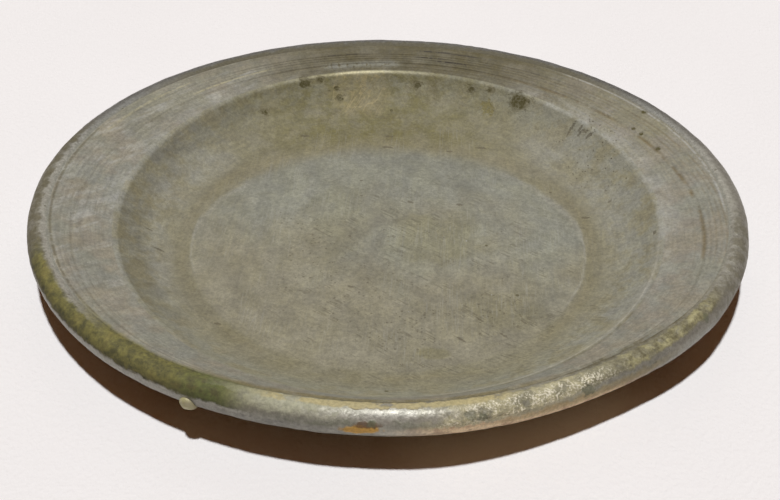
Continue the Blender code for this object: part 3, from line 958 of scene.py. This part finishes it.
def rim_finish(colours):
    """Copper with old tin on its rolled edge, worn below, green at the left and crusty at the right."""
    finish = Finish("rim copper", 0.6)
    nodes = finish.nodes
    broad = finish.cloud(75.0, 4.0, 0.6)
    mid = finish.cloud(280.0, 5.0, 0.65)
    fine = finish.cloud(1000.0, 3.0, 0.65)
    torn = nodes.shaken(finish.station, mid, 0.18)
    tone = nodes.mix(nodes.fade(broad, 0.38, 0.62), colours.copper_brown, colours.copper_dark)
    tinned = nodes.times(nodes.fade(torn, 3.9, 3.98), nodes.fade(torn, 4.68, 4.58))
    roll = nodes.mix(finish.arc(20, 165, 20), colours.roll_grey, colours.roll_dark)
    tone = nodes.mix(tinned, tone, nodes.shade(roll, broad, 0.8, 1.2))
    worn = nodes.times(finish.arc(-86, -52, 6), nodes.fade(torn, 4.36, 4.42))
    browned = nodes.times(nodes.fade(mid, 0.46, 0.66), 0.55)
    bare = nodes.mix(browned, colours.copper_worn, colours.copper_brown)
    tone = nodes.laid(worn, 0.9, tone, bare)
    coated = nodes.times(worn, 0.85)
    for mask, share, dirt in roll_marks(finish, colours, torn, mid):
        tone = nodes.laid(mask, share, tone, dirt)
        coated = nodes.most(coated, nodes.times(mask, share))
    # Painted light: the lower half of the rolled edge at the front is made up to 30 % paler, standing in for
    # light from the front that the lamps here don't give.
    low = finish.zone(torn, 4.28, 4.50, 0.04, (-98, -58, 6))
    tone = nodes.shade(tone, low, 1.0, 1.3)
    # Painted highlight on rubbed tin: a silver band along the front of the rolled edge, where the key
    # light's reflection falls.
    silver = finish.zone(torn, 4.16, 4.29, 0.03, (-99, -80, 6))
    silver = nodes.times(silver, nodes.fade(finish.cloud(400.0, 4.0, 0.7), 0.62, 0.44))
    tone = nodes.laid(silver, 0.65, tone, colours.silver_and_highlight)
    tone, moss = finish.moss(colours, tone)
    dull = nodes.math("SUBTRACT", 1.0, nodes.times(silver, 0.7))
    coated = nodes.times(nodes.most(coated, moss), dull)
    tone = nodes.mottle(tone, fine, 0.84, 1.16)
    smooth = nodes.stretched(broad, 0.38, 0.58)
    roughness = nodes.math("ADD", smooth, nodes.times(coated, 0.3))
    nodes.plug(finish.shader.inputs["Metallic"], nodes.stretched(coated, 0.5, 0.03))
    height = nodes.math("ADD", nodes.times(finish.cloud(700.0, 4.0, 0.7), 0.5), nodes.times(coated, 0.5))
    return finish.set(tone, roughness, height, 0.0004)


def roll_marks(finish, colours, torn, mid):
    """Marks on the rolled edge as pairs of a mask and a colour, with the share of the colour that shows."""
    nodes = finish.nodes
    clumps = finish.cloud(150.0, 4.0, 0.6)
    flaky = nodes.fade(mid, 0.38, 0.58)
    thick = nodes.fade(clumps, 0.40, 0.54)
    crease = nodes.fade(torn, 4.05, 3.99)
    yield nodes.times(crease, nodes.stretched(finish.arc(-125, -15, 10), 0.3, 1.0)), 0.75, colours.crease
    # Painted reflection: pale bluish tin laid in the crease at both ends of the roll, where the crease
    # catches the light.
    ends = nodes.most(finish.arc(150, 225, 12), finish.arc(-30, 20, 12))
    yield nodes.times(crease, ends), 0.8, colours.tin_blue_and_reflection
    yield nodes.times(nodes.fade(torn, 4.14, 4.05), finish.arc(40, 140, 15)), 0.75, colours.film
    edge = finish.zone(torn, 4.09, 4.42, 0.03, (160, 206, 6))
    yield nodes.times(edge, nodes.stretched(flaky, 0.5, 1.0)), 0.8, colours.film
    left = finish.zone(torn, 4.00, 4.30, 0.04, (-114, -96, 4))
    yield nodes.times(left, nodes.stretched(thick, 0.6, 1.0)), 0.9, colours.pale_green
    smudge = finish.zone(torn, 4.30, 4.41, 0.03, (-106, -84, 6))
    yield nodes.times(smudge, nodes.stretched(nodes.times(flaky, thick), 0.25, 1.0)), 0.65, colours.smudge
    # Painted shade: darker tin along the lower edge of the roll at the front left, where it turns under.
    shade = nodes.times(finish.arc(-116, -90, 6), nodes.fade(torn, 4.38, 4.44))
    yield nodes.times(shade, nodes.stretched(flaky, 0.3, 1.0)), 0.45, colours.roll_dark
    yield from crust_marks(finish, colours, torn, mid, thick)
    squashed = nodes.scaled(finish.place, (1, 1, 0.3))
    steady = nodes.shaken(finish.station, nodes.cloud(squashed, 330.0, 4.0), 0.16)
    band = finish.zone(steady, 4.01, 4.13, 0.02, (-107, -73, 3))
    yield nodes.times(band, nodes.fade(nodes.shaken(clumps, mid, 0.9), 0.32, 0.50)), 0.85, colours.cream
    right = finish.zone(torn, 4.06, 4.50, 0.05, (-34, -6, 7))
    yield nodes.times(right, nodes.stretched(flaky, 0.2, 1.0)), 0.6, colours.film
    orange = finish.patch((-0.0065, -0.1015, 0.0143), 0.0024, 1.2, 420.0, (0.42, 1, 1.6))
    yield orange, 0.85, colours.copper_bright
    rusty = finish.patch((-0.0050, -0.1012, 0.0158), 0.0018, 1.6, 600.0, (0.42, 1, 1.8))
    yield rusty, 0.8, colours.copper_dark
    for place, radius in ROLL_SPOTS:
        yield finish.patch(place, radius, 2.0, 600.0), 0.65, colours.smudge
    yield nodes.times(finish.specks(380.0, 0.3, 0.22), nodes.fade(torn, 4.45, 4.35)), 0.5, colours.stain


def crust_marks(finish, colours, torn, mid, thick):
    """The pale crust at the front right, which narrows towards the right end, in the form of roll_marks."""
    nodes = finish.nodes
    rightwards = nodes.add("SeparateXYZ", {0: finish.around}).outputs["X"]
    low = nodes.math("ADD", torn, nodes.times(rightwards, CRUST_NARROWING))
    crusty = nodes.times(nodes.fade(torn, 4.02, 4.09), nodes.fade(low, 4.47, 4.41))
    crusty = nodes.times(crusty, finish.arc(-83, -33, 4))
    gaps = nodes.stretched(nodes.fade(mid, 0.36, 0.48), 0.5, 1.0)
    bright = finish.arc(-84, -57, 6)
    yield nodes.times(crusty, gaps), 0.9, colours.crust_grey
    clumped = nodes.times(nodes.times(crusty, thick), gaps)
    yield clumped, 0.9, nodes.mix(bright, colours.crust_yellow, colours.crust)
    white = nodes.times(nodes.fade(finish.cloud(1700.0, 2.0), 0.44, 0.60), nodes.fade(mid, 0.42, 0.56))
    white = nodes.times(white, nodes.fade(torn, 4.08, 4.18))
    white = nodes.times(nodes.times(crusty, white), nodes.stretched(bright, 0.12, 1.0))
    yield white, 0.95, colours.crust_white
    below = finish.zone(torn, 4.27, 4.40, 0.03, (-66, -46, 5))
    yield nodes.times(below, nodes.stretched(gaps, 1.0, 0.2)), 0.7, colours.smudge
    strip = finish.zone(torn, 4.35, 4.47, 0.03, (-75, -47, 5))
    yield nodes.times(strip, nodes.stretched(gaps, 0.4, 1.0)), 0.6, colours.gold
    squashed = nodes.scaled(finish.place, (1, 1, 0.4))
    strokes = nodes.fade(nodes.cloud(squashed, 300.0, 5.0, 0.8), 0.38, 0.66)
    across = finish.zone(torn, 4.05, 4.24, 0.04, (-56, -28, 5))
    yield nodes.times(across, strokes), 0.8, colours.film
    upper = finish.zone(torn, 3.96, 4.05, 0.02, (-62, -38, 5))
    yield nodes.times(upper, nodes.stretched(thick, 0.9, 0.25)), 0.8, colours.film


def wire_finish(colours):
    """Drawn iron with a film of rust."""
    finish = Finish("rusty iron", 0.7)
    nodes = finish.nodes
    rusted = nodes.fade(finish.cloud(220.0, 4.0, 0.65), 0.42, 0.62)
    tone = nodes.mix(rusted, colours.iron, colours.rust)
    grain = finish.cloud(1500.0)
    roughness = nodes.math("ADD", nodes.times(rusted, 0.3), 0.45)
    return finish.set(tone, roughness, grain, 0.0002)


def run_finish(colours):
    """Pale set tin."""
    finish = Finish("set tin", 0.15)
    nodes = finish.nodes
    dirt = nodes.fade(finish.cloud(520.0, 4.0, 0.65), 0.42, 0.68)
    tone = nodes.mix(dirt, colours.crust, colours.crust_yellow)
    roughness = nodes.math("ADD", nodes.times(dirt, 0.2), 0.5)
    return finish.set(tone, roughness, finish.cloud(1100.0), 0.0003)


def floor_finish(colours):
    """A plain pale surface with the faintest cloudiness."""
    finish = Finish("pale floor", 0.0)
    nodes = finish.nodes
    tone = nodes.shade(colours.floor, finish.cloud(9.0), 0.97, 1.03)
    return finish.set(tone, 0.9, finish.cloud(600.0), 0.0004)


class DISH_OT_copper_body(bpy.types.Operator):
    """Builds the copper sheet with its rolled edge"""

    bl_idname = "dish.copper_body"
    bl_label = "Copper body"

    def execute(self, context):
        scene = context.scene
        sizes = scene.dish_sizes
        detail = scene.dish_detail
        # Steps across the base, the wall, the shoulder and the lip, which the tin hides.
        steps = (1, detail.hidden_steps, 3, 3)
        points = [(0, 0, 0)]
        for start in range(LIP_END):
            points += section(start, start + 1, steps[start], 0)
        points += section(LIP_END, ROLL_END, detail.roll_steps, 0)
        points.append((ROLL_END, 0, -sizes.sheet))
        points += section(ROLL_END, LIP_END, 2 * detail.hidden_steps, -sizes.sheet)
        for stop in reversed(range(LIP_END)):
            points += section(stop + 1, stop, steps[stop], -sizes.sheet)
        bm = spun_disc(points, 2 * detail.around)

        def dents(station, angle, height):
            outside = (height > -sizes.sheet / 2) * np.clip((station - LIP_END) * 8, 0, 1)
            outside *= np.clip((ROLL_END - station) * 6, 0, 1)
            places = bent(sizes, station, angle, height)
            broad = rough(places, 90.0, 0.6 * sizes.dent_depth)
            fine = rough(places, 420.0, 0.4 * sizes.dent_depth)
            low = 4.40 - CRUST_NARROWING * np.cos(angle)
            crust = within(angle, CRUST_FROM, CRUST_TO) * within(station, 4.06, low, 0.03)
            moss = within(angle, MOSS_FROM, MOSS_TO) * within(station, 4.08, 4.36, 0.03)
            grown = crust * sizes.crust_depth + moss * sizes.moss_depth
            clumps = 0.6 + rough(places, 210.0, 0.8) + rough(places, 520.0, 0.8)
            return outside * (broad + fine + grown * np.clip(clumps, 0, 1.2))

        bend_onto_dish(bm, sizes, dents)
        finish_piece("dish_body", bm, rim_finish(scene.dish_colours), "copper_body")
        return {"FINISHED"}


class DISH_OT_tin_lining(bpy.types.Operator):
    """Builds the tin on the upper face, with its turned lines"""

    bl_idname = "dish.tin_lining"
    bl_label = "Tin lining"

    def execute(self, context):
        scene = context.scene
        sizes = scene.dish_sizes
        detail = scene.dish_detail
        top = sizes.tin
        taper = sizes.tin_taper
        points = [(0, 0, top)]
        points += section(0, BASE_END, detail.base_steps, top)
        points += section(BASE_END, WALL_END, detail.wall_steps, top)
        points += section(WALL_END, SHOULDER_END, detail.shoulder_steps, top)
        points += section(SHOULDER_END, sizes.tin_end - sizes.tin_edge, detail.lip_steps, top)
        points.append((sizes.tin_end, 0, sizes.tin_seat))
        points += section(sizes.tin_end, SHOULDER_END, detail.hidden_steps, sizes.tin_seat)
        for stop in reversed(range(SHOULDER_END)):
            points += section(stop + 1, stop, detail.hidden_steps, sizes.tin_seat)
        bm = spun_disc(points, detail.around)

        def lines(station, angle, height):
            above = height > sizes.tin / 2
            places = bent(sizes, station, angle, height)
            depth = rough(places, 55.0, sizes.ripple_depth)
            depth = depth + rough(places, 160.0, 0.35 * sizes.ripple_depth)
            turned = station + TURN_DRIFT * np.sin(angle)
            for line, half_width, deep in TURNED_LINES:
                cut = np.exp(-(((turned - line) / half_width) ** 2))
                depth = depth - deep * (station > SHOULDER_END) * cut
            thinned = np.clip((station - sizes.tin_end + taper) / taper, 0, 1)
            return above * (depth * (1 - thinned) - 0.95 * thinned * (sizes.tin - sizes.tin_seat))

        bend_onto_dish(bm, sizes, lines)
        finish_piece("dish_tin", bm, tin_finish(scene.dish_colours), "tin_lining")
        return {"FINISHED"}


class DISH_OT_rim_wire(bpy.types.Operator):
    """Builds the wire inside the rolled edge, with its ends butted at the back"""

    bl_idname = "dish.rim_wire"
    bl_label = "Rim wire"

    def execute(self, context):
        scene = context.scene
        sizes = scene.dish_sizes
        sides = scene.dish_detail.wire_sides
        gap = sizes.wire_butt_gap / sizes.rim_half_length
        start = math.pi / 2 + gap / 2
        bm = bmesh.new()
        ring = bmesh.ops.create_circle(bm, segments=sides, radius=sizes.wire_radius)["verts"]
        bmesh.ops.rotate(bm, verts=ring, matrix=Quaternion((1, 0, 0), math.pi / 2).to_matrix())
        bmesh.ops.translate(bm, verts=ring, vec=(1, 0, 0))
        bmesh.ops.rotate(bm, verts=ring, matrix=Quaternion((0, 0, 1), start).to_matrix())
        steps = scene.dish_detail.around // 2
        bmesh.ops.spin(bm, geom=bm.verts[:] + bm.edges[:], axis=UP, angle=math.tau - gap, steps=steps)
        bmesh.ops.holes_fill(bm, edges=bm.edges)
        bmesh.ops.recalc_face_normals(bm, faces=bm.faces)
        flat = np.array([corner.co for corner in bm.verts])
        out = np.hypot(flat[:, 0], flat[:, 1]) - 1
        angle = np.arctan2(flat[:, 1], flat[:, 0])
        face = DishFace(sizes, angle)
        place_corners(bm, face.roll(np.arctan2(flat[:, 2], out), np.hypot(out, flat[:, 2])))
        finish_piece("edge_wire", bm, wire_finish(scene.dish_colours), "rim_wire")
        return {"FINISHED"}


class DISH_OT_tin_run(bpy.types.Operator):
    """Builds the run of tin that set on the front of the rolled edge"""

    bl_idname = "dish.tin_run"
    bl_label = "Run of tin"

    def execute(self, context):
        scene = context.scene
        sizes = scene.dish_sizes
        sides = scene.dish_detail.run_sides
        bm = bmesh.new()
        bmesh.ops.create_uvsphere(bm, u_segments=sides, v_segments=sides // 2, radius=1)
        ball = np.array([corner.co for corner in bm.verts])
        middle = np.array([RUN_ANGLE])
        nudge = 0.01
        flat = np.zeros(1)
        step = DishFace(sizes, middle + nudge).roll(flat, 0.0) - DishFace(sizes, middle).roll(flat, 0.0)
        per_radian = np.linalg.norm(step) / nudge
        angle = middle + ball[:, 0] * sizes.run_half_width / per_radian
        roll_angle = RUN_ROLL_ANGLE + ball[:, 1] * sizes.run_half_height / sizes.roll_radius
        lumps = 1 + rough(ball, 1.2, 0.25)
        stand_off = sizes.tin_seat + np.maximum(ball[:, 2], 0) * sizes.run_depth * lumps
        place_corners(bm, DishFace(sizes, angle).roll(roll_angle, sizes.roll_radius + stand_off))
        finish_piece("tin_drop", bm, run_finish(scene.dish_colours), "tin_run")
        return {"FINISHED"}


class DISH_OT_stage(bpy.types.Operator):
    """Sets the floor, the lights and the camera"""

    bl_idname = "dish.stage"
    bl_label = "Stage"

    def execute(self, context):
        scene = context.scene
        self.add_floor(scene)
        self.add_key(scene)
        self.add_back(scene)
        self.add_sky(scene)
        self.add_camera(scene)
        scene.view_settings.view_transform = "Standard"
        return {"FINISHED"}

    def add_key(self, scene):
        lamp = bpy.data.lights.new("key", "SUN")
        lamp.energy = scene.dish_stage.key_strength
        lamp.angle = scene.dish_stage.key_spread
        key = add_object("key", lamp)
        key.rotation_euler = (-scene.dish_stage.key_tilt, scene.dish_stage.key_turn, 0)

    def add_back(self, scene):
        """A soft square light behind the dish that looks at its middle."""
        stage = scene.dish_stage
        lamp = bpy.data.lights.new("back", "AREA")
        lamp.energy = stage.back_power
        lamp.size = stage.back_side
        lamp.color = scene.dish_colours.back_light
        back = add_object("back", lamp)
        back.location = stage.back_place
        back.rotation_mode = "QUATERNION"
        back.rotation_quaternion = (-Vector(stage.back_place)).to_track_quat("-Z", "Y")

    def add_sky(self, scene):
        """Dim warm light from all round, which looks pale where the camera meets it."""
        world = bpy.data.worlds.new("soft room")
        world.use_nodes = True
        nodes = Nodes(world.node_tree)
        dim = world.node_tree.nodes["Background"]
        nodes.plug(dim.inputs["Color"], scene.dish_colours.sky_warm)
        nodes.plug(dim.inputs["Strength"], scene.dish_stage.sky)
        pale = nodes.add("Background", {"Color": scene.dish_colours.sky_pale, "Strength": 1.0})
        seen = nodes.add("LightPath").outputs["Is Camera Ray"]
        both = nodes.add("MixShader", {0: seen, 1: dim.outputs[0], 2: pale.outputs[0]})
        nodes.plug(world.node_tree.nodes["World Output"].inputs["Surface"], both.outputs[0])
        scene.world = world

    def add_floor(self, scene):
        bm = bmesh.new()
        bmesh.ops.create_grid(bm, x_segments=1, y_segments=1, size=scene.dish_stage.floor_side / 2)
        bmesh.ops.translate(bm, verts=bm.verts, vec=(0, 0, -scene.dish_stage.floor_drop))
        mesh = bpy.data.meshes.new("floor")
        bm.to_mesh(mesh)
        bm.free()
        mesh.materials.append(floor_finish(scene.dish_colours))
        floor = add_object("floor", mesh)

    def add_camera(self, scene):
        stage = scene.dish_stage
        lens = bpy.data.cameras.new("camera")
        lens.lens = stage.camera_lens
        lens.sensor_width = stage.camera_frame
        lens.clip_start = 0.01
        camera = add_object("camera", lens)
        camera.location = (0, -stage.camera_distance, stage.camera_height)
        camera.rotation_mode = "QUATERNION"
        level = Vector(stage.camera_aim).to_track_quat("-Z", "Y")
        camera.rotation_quaternion = level @ Quaternion((0, 0, 1), stage.camera_roll)
        scene.camera = camera


class DISH_PT_panel(bpy.types.Panel):
    """Lists the dish's pieces"""

    bl_label = "Old tinned dish"
    bl_idname = "DISH_PT_panel"
    bl_space_type = "VIEW_3D"
    bl_region_type = "UI"
    bl_category = "Dish"

    def draw(self, context):
        for operator in OPERATORS:
            self.layout.operator(operator.bl_idname)
        for group in PROPERTY_GROUPS:
            settings = getattr(context.scene, group)
            for name in settings.bl_rna.properties.keys():
                if name not in ("rna_type", "name"):
                    self.layout.prop(settings, name)


PROPERTY_GROUPS = {
    "dish_sizes": DishSizes,
    "dish_colours": DishColours,
    "dish_stage": StageSettings,
    "dish_detail": DishDetail,
}
OPERATORS = (
    DISH_OT_copper_body,
    DISH_OT_tin_lining,
    DISH_OT_rim_wire,
    DISH_OT_tin_run,
    DISH_OT_stage,
)


def register():
    for kind in (*PROPERTY_GROUPS.values(), *OPERATORS, DISH_PT_panel):
        bpy.utils.register_class(kind)
    for name, group in PROPERTY_GROUPS.items():
        setattr(bpy.types.Scene, name, PointerProperty(type=group))


def unregister():
    for name in PROPERTY_GROUPS:
        delattr(bpy.types.Scene, name)
    for kind in reversed((*PROPERTY_GROUPS.values(), *OPERATORS, DISH_PT_panel)):
        bpy.utils.unregister_class(kind)


def main():
    register()
    bpy.ops.dish.copper_body()
    bpy.ops.dish.tin_lining()
    bpy.ops.dish.rim_wire()
    bpy.ops.dish.tin_run()
    bpy.ops.dish.stage()


if __name__ == "__main__":
    main()
